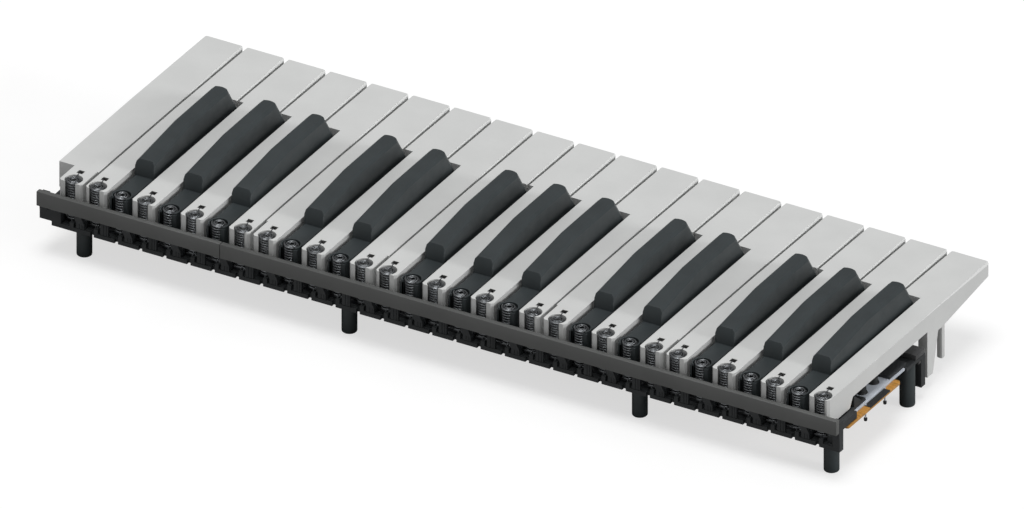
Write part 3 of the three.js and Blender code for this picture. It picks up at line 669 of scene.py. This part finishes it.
def hook_hole(bm, x):
    """The small hole in front of the spring, which its hooked end drops into."""
    sides = (x - 1.1, x + 2.3)
    ends = (145.4, 148.5)

    def top_faces():
        return [f for f in bm.faces if f.normal.z > 0.99 and level_of(f.calc_center_median()) < 0.05
                and any(depth_of(v.co) > 140 for v in f.verts)]

    planes = [(at(side, 0, 0), (1, 0, 0)) for side in sides] + [(at(0, end, 0), (0, 1, 0)) for end in ends]
    for place, normal in planes:
        faces = top_faces()
        geom = faces + list({e for f in faces for e in f.edges}) + list({v for f in faces for v in f.verts})
        bmesh.ops.bisect_plane(bm, geom=geom, plane_co=place, plane_no=normal, dist=MERGE_DISTANCE)
    hole = [f for f in top_faces() if sides[0] < f.calc_center_median().x * 1000 < sides[1]
            and ends[0] < depth_of(f.calc_center_median()) < ends[1]]
    middle = at(x + 0.6, ends[1] - 0.1, 0)
    old = hole
    # a thin web at the top, and under it a hollow that reaches further forward
    for widen, lengthen, drop in ((1, 1, 0.4), (1.7, 2.6, 0.05), (1, 1, 10.5)):
        grown = bmesh.ops.extrude_face_region(bm, geom=old)
        verts = [item for item in grown["geom"] if isinstance(item, bmesh.types.BMVert)]
        bmesh.ops.scale(bm, verts=verts, vec=(widen, lengthen, 1), space=Matrix.Translation(-middle))
        bmesh.ops.translate(bm, verts=verts, vec=(0, 0, -drop / 1000))
        bmesh.ops.delete(bm, geom=old, context="FACES")
        old = [item for item in grown["geom"] if isinstance(item, bmesh.types.BMFace)]


def guide_pin(bm, order):
    """The round-ended pin in front of the leg."""
    x = spring_x(order)
    block(bm, x - 3.4, x, 40.6, 43.6, 2, 34.2, 0.9)


def sharp_body(key):
    """The raised body of a sharp key, with its chamfered ridge."""
    sizes = in_millimetres(bpy.context.scene.keybed_keys)
    x = spring_x(key["order"])
    rise = sizes.sharp_rise
    bm = bmesh.new()
    profile = [(51.4, SIDE_LEVEL), (51.4, 0), (58.2, -rise), (95.5, -rise), (130.9, -6.9), (132.9, -3.3),
               (132.9, SIDE_LEVEL)]
    face = outline(bm, [at(x - SHARP_HALF, depth, level) for depth, level in profile])
    raise_faces(bm, [face], Vector((2 * SHARP_HALF / 1000, 0, 0)))
    for vert in bm.verts:
        share = max(0, -level_of(vert.co)) / rise
        side = 1 if vert.co.x * 1000 > x else -1
        vert.co.x = (x + side * (SHARP_HALF - 1.1 * share)) / 1000
    ridge = [e for e in bm.edges if all(level_of(v.co) < -5 for v in e.verts)
             and abs(e.verts[0].co.x - e.verts[1].co.x) < 0.001]
    slope = [e for e in bm.edges if sorted(round(level_of(v.co), 1) for v in e.verts) == [-round(rise, 1), 0]]
    soften(bm, ridge + slope, sizes.sharp_chamfer, 1)
    # the front is bowed in plan
    for step in (-3, -1.5, 0, 1.5, 3):
        cut_across(bm, at(x + step, 0, 0), (1, 0, 0))
    for vert in bm.verts:
        if depth_of(vert.co) < 62:
            across = min(1, abs(vert.co.x * 1000 - x) / 4.3)
            vert.co.y -= 0.0016 * (1 - across ** 2)
    return bm


def sharp_collar(bm, order):
    """The neck and the collar round the spring."""
    x = spring_x(order)
    neck = bmesh.new()
    before = [at(x - NECK_HALF, 131, 0), at(x + NECK_HALF, 131, 0), at(x + NECK_HALF, KEY_REAR, 0)]
    face = bore_outline(neck, x, SHARP_BORE, before, [at(x - NECK_HALF, KEY_REAR, 0)])
    raise_faces(neck, [face], Vector((0, 0, -0.0126)))
    bmesh.ops.translate(neck, verts=neck.verts, vec=(0, 0, -0.0019))
    for depth in (134.5, 137.5):
        cut_across(neck, at(0, depth, 0), (0, 1, 0))
    for vert in neck.verts:
        if level_of(vert.co) > 14:
            vert.co.z = (STAND - underside(max(depth_of(vert.co), 61.5))) / 1000
    absorb(bm, neck)
    ring = bmesh.new()
    back = KEY_REAR - SPRING_DEPTH
    half = math.sqrt(COLLAR_RADIUS ** 2 - back ** 2)
    start = ring.verts.new(at(x + half, KEY_REAR, 0.9))
    inner = ring.verts.new(at(x + math.sqrt(SHARP_BORE ** 2 - back ** 2), KEY_REAR, 0.9))
    edge = ring.edges.new((start, inner))
    sweep = math.pi + 2 * math.atan2(back, half)
    bmesh.ops.spin(ring, geom=[start, inner, edge], cent=at(x, SPRING_DEPTH, 0), axis=(0, 0, 1), angle=-sweep,
                   steps=36, use_merge=False)
    raise_faces(ring, list(ring.faces), Vector((0, 0, -0.0136)))
    absorb(bm, ring)


class KEYBED_OT_natural_keys(bpy.types.Operator):
    """Makes the white keys with their legs, pins and plungers"""
    bl_idname = "keybed.natural_keys"
    bl_label = "Natural keys"

    def execute(self, context):
        for key in [k for k in KEYS if not k["sharp"]]:
            bm = natural_body(key)
            stop_leg(bm, key["order"])
            guide_pin(bm, key["order"])
            actuators(bm, key["order"])
            piece("natural_" + key["label"], bm, "natural_plastic", key["body"], [key["node"]],
                  in_millimetres(context.scene.keybed_keys).edge_radius)
        return {"FINISHED"}


class KEYBED_OT_sharp_keys(bpy.types.Operator):
    """Makes the black keys with their necks, collars, legs and plungers"""
    bl_idname = "keybed.sharp_keys"
    bl_label = "Sharp keys"

    def execute(self, context):
        for key in [k for k in KEYS if k["sharp"]]:
            bm = sharp_body(key)
            sharp_collar(bm, key["order"])
            stop_leg(bm, key["order"], SHARP_LEG_FRONT)
            actuators(bm, key["order"])
            piece("sharp_" + key["label"], bm, "sharp_plastic", key["body"], [key["node"]],
                  in_millimetres(context.scene.keybed_keys).edge_radius)
        return {"FINISHED"}


# ---- springs ----


def rod(bm, start, end, radius, sides=8):
    """A straight round rod between two points."""
    part = bmesh.new()
    step = end - start
    turn = step.to_track_quat("Z", "Y").to_matrix().to_4x4()
    bmesh.ops.create_cone(part, cap_ends=True, segments=sides, radius1=radius / 1000, radius2=radius / 1000,
                          depth=step.length, matrix=Matrix.Translation((start + end) / 2) @ turn)
    absorb(bm, part)


def coil(bm, centre, wire, drop, turns, steps, axis, start):
    """Wire of a round section spun about an axis, and along it when there is a drop."""
    part = bmesh.new()
    section = bmesh.ops.create_circle(part, cap_ends=False, segments=WIRE_SIDES, radius=wire / 2000)["verts"]
    bmesh.ops.transform(part, matrix=Matrix.Rotation(math.radians(90), 4, "X"), verts=section)
    bmesh.ops.translate(part, verts=section, vec=start)
    count = round(turns * steps)
    bmesh.ops.spin(part, geom=list(part.verts) + list(part.edges), cent=centre, axis=axis,
                   dvec=(0, 0, -drop / 1000 / steps), angle=turns * 2 * math.pi, steps=count, use_merge=False)
    bmesh.ops.holes_fill(part, edges=[e for e in part.edges if e.is_boundary], sides=WIRE_SIDES + 1)
    bmesh.ops.recalc_face_normals(part, faces=part.faces)
    absorb(bm, part)


def spring_top(key):
    """The level of a spring's top turn."""
    return 1.1 if key["sharp"] else 0.45


def top_spiral(bm, x, level):
    """The top of the spring, where the wire winds inwards to its hook."""
    sizes = in_millimetres(bpy.context.scene.keybed_springs)
    part = bmesh.new()
    coil(part, at(x, SPRING_DEPTH, 0), sizes.wire, 0, 2.1, SPIRAL_STEPS, (0, 0, 1),
         at(x + sizes.radius, SPRING_DEPTH, level))
    for index, vert in enumerate(part.verts):
        turned = index // WIRE_SIDES / SPIRAL_STEPS
        away = Vector((math.cos(turned * 2 * math.pi), math.sin(turned * 2 * math.pi), 0))
        vert.co -= away * sizes.spiral_pitch / 1000 * turned
    absorb(bm, part)


def wound_spring(key):
    """One close-wound spring, with the hook at its top and the loop round the bar under it."""
    sizes = in_millimetres(bpy.context.scene.keybed_springs)
    x = spring_x(key["order"])
    top = spring_top(key)
    bm = bmesh.new()
    turns = round((SPRING_FLOOR - top) / sizes.pitch)
    coil(bm, at(x, SPRING_DEPTH, 0), sizes.wire, (SPRING_FLOOR - top) / turns, turns, 18, (0, 0, 1),
         at(x + sizes.radius, SPRING_DEPTH, top))
    top_spiral(bm, x, top - 0.03)
    loop = Vector((0, 0, 0.0021))
    centre = at(x, SPRING_DEPTH, ANCHOR_LEVEL)
    coil(bm, centre, sizes.wire, 0, 0.95, 20, (1, 0, 0), centre + loop)
    if not key["sharp"]:
        rod(bm, at(x + 0.1, 151.6, 0.1), at(x + 0.6, 148.2, 0.1), 0.35)
        rod(bm, at(x + 0.6, 148.2, 0.1), at(x + 0.6, 147.6, 5), 0.35)
    return bm


class KEYBED_OT_springs(bpy.types.Operator):
    """Makes a wound spring in the tail of every key and the bars under them"""
    bl_idname = "keybed.springs"
    bl_label = "Springs"

    def execute(self, context):
        for key in KEYS:
            made = piece("spring_" + key["label"], wound_spring(key), "spring_wire",
                         nodes=["springs_" + key["group"]], angle=60)
            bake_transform(made)
        for group in KEY_GROUPS:
            orders = [key["order"] for key in KEYS if key["group"] == group]
            bm = bmesh.new()
            block(bm, spring_x(max(orders)) - 4.6, spring_x(min(orders)) + 4.6, SPRING_DEPTH - 0.9,
                  SPRING_DEPTH + 0.9, 22.2, 24, 0.3)
            piece("anchor_bar_" + group, bm, "spring_wire", "frame")
        return {"FINISHED"}


# ---- frame ----


def cad_copy(node):
    """A merged copy of a CAD node's mesh, with its flat faces made whole."""
    bm = bmesh.new()
    bm.from_mesh(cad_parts[node].data)
    bmesh.ops.remove_doubles(bm, verts=bm.verts, dist=MERGE_DISTANCE)
    bmesh.ops.dissolve_limit(bm, angle_limit=math.radians(0.5), verts=bm.verts, edges=bm.edges)
    return bm


class KEYBED_OT_chassis(bpy.types.Operator):
    """Dresses the moulded frame"""
    bl_idname = "keybed.chassis"
    bl_label = "Frame"

    def execute(self, context):
        piece("frame_moulding", cad_copy("chassis"), "chassis_plastic", "frame", ["chassis"],
              in_millimetres(context.scene.keybed_frame).edge_radius)
        ribs = bmesh.new()
        for order in range(KEY_COUNT - 1):
            x = spring_x(order) - SEMITONE / 2
            if order % 2:
                block(ribs, x - 2.25, x + 2.25, 159.1, 160.3, 15.1, 24, 0.1)
            for low, high in ((0.4, 2.2), (-1.1, 0), (-2.2, -1.5)):
                block(ribs, x + low, x + high, 160, 160.55, 16, 23.4, 0.1)
        piece("rail_ribs", ribs, "chassis_plastic", "frame")
        return {"FINISHED"}


class KEYBED_OT_rear_bar(bpy.types.Operator):
    """Makes the two lengths of the painted rear bar"""
    bl_idname = "keybed.rear_bar"
    bl_label = "Rear bar"

    def execute(self, context):
        sizes = in_millimetres(context.scene.keybed_frame)
        joint = FRAME_LENGTH / 2 - 103.8
        lengths = (("treble", joint, FRAME_LENGTH / 2), ("bass", -FRAME_LENGTH / 2, joint - 0.3))
        for name, low, high in lengths:
            bm = bmesh.new()
            block(bm, low, high, FRAME_DEPTH - sizes.bar_thickness, FRAME_DEPTH, BAR_LEVEL,
                  BAR_LEVEL + sizes.bar_height, 0.25)
            piece("bar_" + name, bm, "bar_metal", "frame", ["rear_bar_" + name])
        return {"FINISHED"}


class KEYBED_OT_feet(bpy.types.Operator):
    """Makes the eight round feet"""
    bl_idname = "keybed.feet"
    bl_label = "Feet"

    def execute(self, context):
        radius = in_millimetres(context.scene.keybed_frame).foot_radius
        for row, depth, top in (("rear", 152.4, 25.9), ("front", 78, 19.2)):
            for index, inset in enumerate((19.8, 170.1, 334.8, 443.5), 1):
                bm = bmesh.new()
                column(bm, TREBLE_X - inset, depth, top, STAND, radius, radius, 40, round_bottom=0.7)
                piece(f"foot_{row}_{index}", bm, "foot_plastic", "frame", [f"{row}_foot_{index}"])
        return {"FINISHED"}


# ---- contact parts ----


def rubber_dome(key, row, depth):
    """A rubber dome under one of its key's plungers."""
    dome = bmesh.new()
    x = spring_x(key["order"])
    column(dome, x, depth, 15.8, DOME_BASE, 2.5, 3.3, 24, round_top=0.3)
    column(dome, x, depth, 13, 16.2, 2.2, 2.4, 24, round_top=0.6)
    made = piece("dome_" + row + "_" + key["label"], dome, "silicone_rubber", "frame", finish="dome_rubber")
    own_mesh(made)


class KEYBED_OT_contacts(bpy.types.Operator):
    """Makes the silicone strips, their domes and their pull tails"""
    bl_idname = "keybed.contacts"
    bl_label = "Contact strips"

    def execute(self, context):
        for group in KEY_GROUPS:
            orders = [k["order"] for k in KEYS if k["group"] == group]
            low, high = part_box("contact_strip_" + group)
            strip = bmesh.new()
            block(strip, low.x * 1000, high.x * 1000, 86, 134, 17, 18.3, 0.2)
            tail_x = spring_x(max(orders)) - (6.9 if group == "bass" else 5.3)
            blobs = bmesh.new()
            for depth in (106, 125):
                column(strip, tail_x, depth, 18, 26, 0.5, 0.4, 12)
                column(blobs, tail_x, depth, 25.4, 27.3, 1, 0.8, 16, round_bottom=0.4, round_top=0.4)
            piece("strip_" + group, strip, "silicone_rubber", "frame", ["contact_strip_" + group])
            piece("tail_ends_" + group, blobs, "silicone_rubber", "frame", finish="dome_rubber")
            for key in [k for k in KEYS if k["group"] == group]:
                rubber_dome(key, "front", FRONT_DOME_DEPTH)
                rubber_dome(key, "rear", REAR_DOME_DEPTH)
        return {"FINISHED"}


class KEYBED_OT_board(bpy.types.Operator):
    """Makes the circuit board, its connector and its screws"""
    bl_idname = "keybed.board"
    bl_label = "Circuit board"

    def execute(self, context):
        low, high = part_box("circuit_board")
        board = bmesh.new()
        block(board, low.x * 1000, high.x * 1000, 95.9, 147.4, 18.3, 19.9)
        corners = [e for e in board.edges if abs(e.verts[0].co.z - e.verts[1].co.z) > 0.001]
        soften(board, corners, 1.2, 4)
        piece("board", board, "board_laminate", "frame", ["circuit_board"], 0.12)
        # a thin dull black film laid over the board's bass end, beside the strip
        patch_bm = bmesh.new()
        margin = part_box("contact_strip_bass")[0].x * 1000
        block(patch_bm, low.x * 1000 - 0.05, margin + 0.5, 106.5, 126, 18.2, 18.9)
        piece("board_end_patch", patch_bm, "board_laminate", "frame", finish="board_film")
        for index, order in enumerate((1, 7, 15, 23, 29), 1):
            screw = bmesh.new()
            x = spring_x(order) - SEMITONE / 2
            column(screw, x, SCREW_DEPTH, 19.9, 21.5, 2.6, 2.4, 32, round_bottom=0.7)
            column(screw, x, SCREW_DEPTH, 14, 20.5, 1.1, 1.1, 16)
            piece(f"screw_{index}", screw, "screw_metal", "frame", [f"board_screw_{index}"])
        piece("connector_housing", cad_copy("ribbon_connector"), "connector_plastic", "frame",
              ["ribbon_connector"], 0.2)
        pins = bmesh.new()
        x = spring_x(9.5)
        for place in range(-8, 9):
            block(pins, x + place * 1.15 - 0.2, x + place * 1.15 + 0.2, 140.8, 141.2, 24, 27.5)
        piece("connector_pins", pins, "connector_plastic", "frame", finish="pin_metal")
        return {"FINISHED"}


class KEYBED_OT_felts(bpy.types.Operator):
    """Makes the two stop felts"""
    bl_idname = "keybed.felts"
    bl_label = "Felts"

    def execute(self, context):
        for node in ("down_stop_felt", "up_stop_felt"):
            low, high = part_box(node)
            bm = bmesh.new()
            bmesh.ops.create_cube(bm, size=1)
            bmesh.ops.scale(bm, verts=bm.verts, vec=high - low)
            bmesh.ops.translate(bm, verts=bm.verts, vec=(low + high) / 2)
            soften(bm, list(bm.edges), 0.4, 3)
            piece(node.replace("_stop", ""), bm, "felt", "frame", [node])
        return {"FINISHED"}


# ---- stage ----


class KEYBED_OT_stage(bpy.types.Operator):
    """Sets up the floor, the light and the camera"""
    bl_idname = "keybed.stage"
    bl_label = "Stage"

    def execute(self, context):
        scene = context.scene
        scene.view_settings.view_transform = "Standard"
        bm = bmesh.new()
        bmesh.ops.create_grid(bm, x_segments=1, y_segments=1, size=6)
        mesh = bpy.data.meshes.new("floor")
        bm.to_mesh(mesh)
        bm.free()
        mesh.materials.append(studio_floor())
        floor = bpy.data.objects.new("floor", mesh)
        scene.collection.objects.link(floor)
        world = bpy.data.worlds.new("plain_light")
        world.use_nodes = True
        tree = world.node_tree
        tree.nodes.clear()
        rays = add_node(tree, "ShaderNodeLightPath")
        strength = add_node(tree, "ShaderNodeMapRange", {"To Min": 0.3, "To Max": 1.0},
                            {"Value": rays.outputs["Is Camera Ray"]})
        sky = add_node(tree, "ShaderNodeBackground", {"Color": (1, 1, 1, 1)},
                       {"Strength": strength.outputs[0]})
        add_node(tree, "ShaderNodeOutputWorld", links={"Surface": sky.outputs[0]})
        scene.world = world
        # one soft lamp overhead for the tops, and a low one at the bass end for the sides
        lamps = (("overhead_lamp", 1.75, 30, (0, 0.08, 1)), ("bass_lamp", 1.4, 20, (-1, -0.08, 0.27)))
        for name, energy, spread, aim_from in lamps:
            lamp = bpy.data.lights.new(name, "SUN")
            lamp.energy = energy
            lamp.angle = math.radians(spread)
            light = bpy.data.objects.new(name, lamp)
            light.matrix_world = Vector(aim_from).to_track_quat("Z", "Y").to_matrix().to_4x4()
            scene.collection.objects.link(light)
        # the camera looks from azimuth 210 and elevation 30 degrees, without perspective
        right = Vector((-0.8660254, -0.5, 0))
        up = Vector((0.25, -0.4330127, 0.8660254))
        back = Vector((-0.4330127, 0.75, 0.5))
        aim = right * -0.00378 + up * 0.0208
        data = bpy.data.cameras.new("camera")
        data.type = "ORTHO"
        data.ortho_scale = 0.5029
        data.clip_end = 10
        camera = bpy.data.objects.new("camera", data)
        turn = Matrix((right, up, back)).transposed().to_4x4()
        camera.matrix_world = Matrix.Translation(aim + back * 2) @ turn
        scene.collection.objects.link(camera)
        bpy.context.scene.camera = camera
        return {"FINISHED"}


class KEYBED_PT_panel(bpy.types.Panel):
    """Lists the keybed's pieces"""
    bl_idname = "KEYBED_PT_panel"
    bl_label = "Keybed"
    bl_space_type = "VIEW_3D"
    bl_region_type = "UI"
    bl_category = "Keybed"

    def draw(self, context):
        layout = self.layout
        for operator in OPERATORS:
            layout.operator(operator.bl_idname)
        for group in ("keybed_keys", "keybed_springs", "keybed_frame", "keybed_finishes"):
            box = layout.box()
            values = getattr(context.scene, group)
            for name in names_in(values):
                box.prop(values, name)


OPERATORS = (
    KEYBED_OT_stage, KEYBED_OT_chassis, KEYBED_OT_rear_bar, KEYBED_OT_feet, KEYBED_OT_felts, KEYBED_OT_board,
    KEYBED_OT_contacts, KEYBED_OT_natural_keys, KEYBED_OT_sharp_keys, KEYBED_OT_springs,
)
GROUPS = {"keybed_keys": KeySizes, "keybed_springs": SpringSizes, "keybed_frame": FrameSizes,
          "keybed_finishes": Finishes}


def register():
    """Adds the sizes, the operators and the panel."""
    for name, group in GROUPS.items():
        bpy.utils.register_class(group)
        setattr(bpy.types.Scene, name, bpy.props.PointerProperty(type=group))
    for operator in OPERATORS:
        bpy.utils.register_class(operator)
    bpy.utils.register_class(KEYBED_PT_panel)


def unregister():
    """Takes them away again."""
    bpy.utils.unregister_class(KEYBED_PT_panel)
    for operator in reversed(OPERATORS):
        bpy.utils.unregister_class(operator)
    for name, group in GROUPS.items():
        delattr(bpy.types.Scene, name)
        bpy.utils.unregister_class(group)


def main():
    """Builds everything in order."""
    register()
    for operator in OPERATORS:
        area, call = operator.bl_idname.split(".")
        getattr(getattr(bpy.ops, area), call)()


if __name__ == "__main__":
    main()
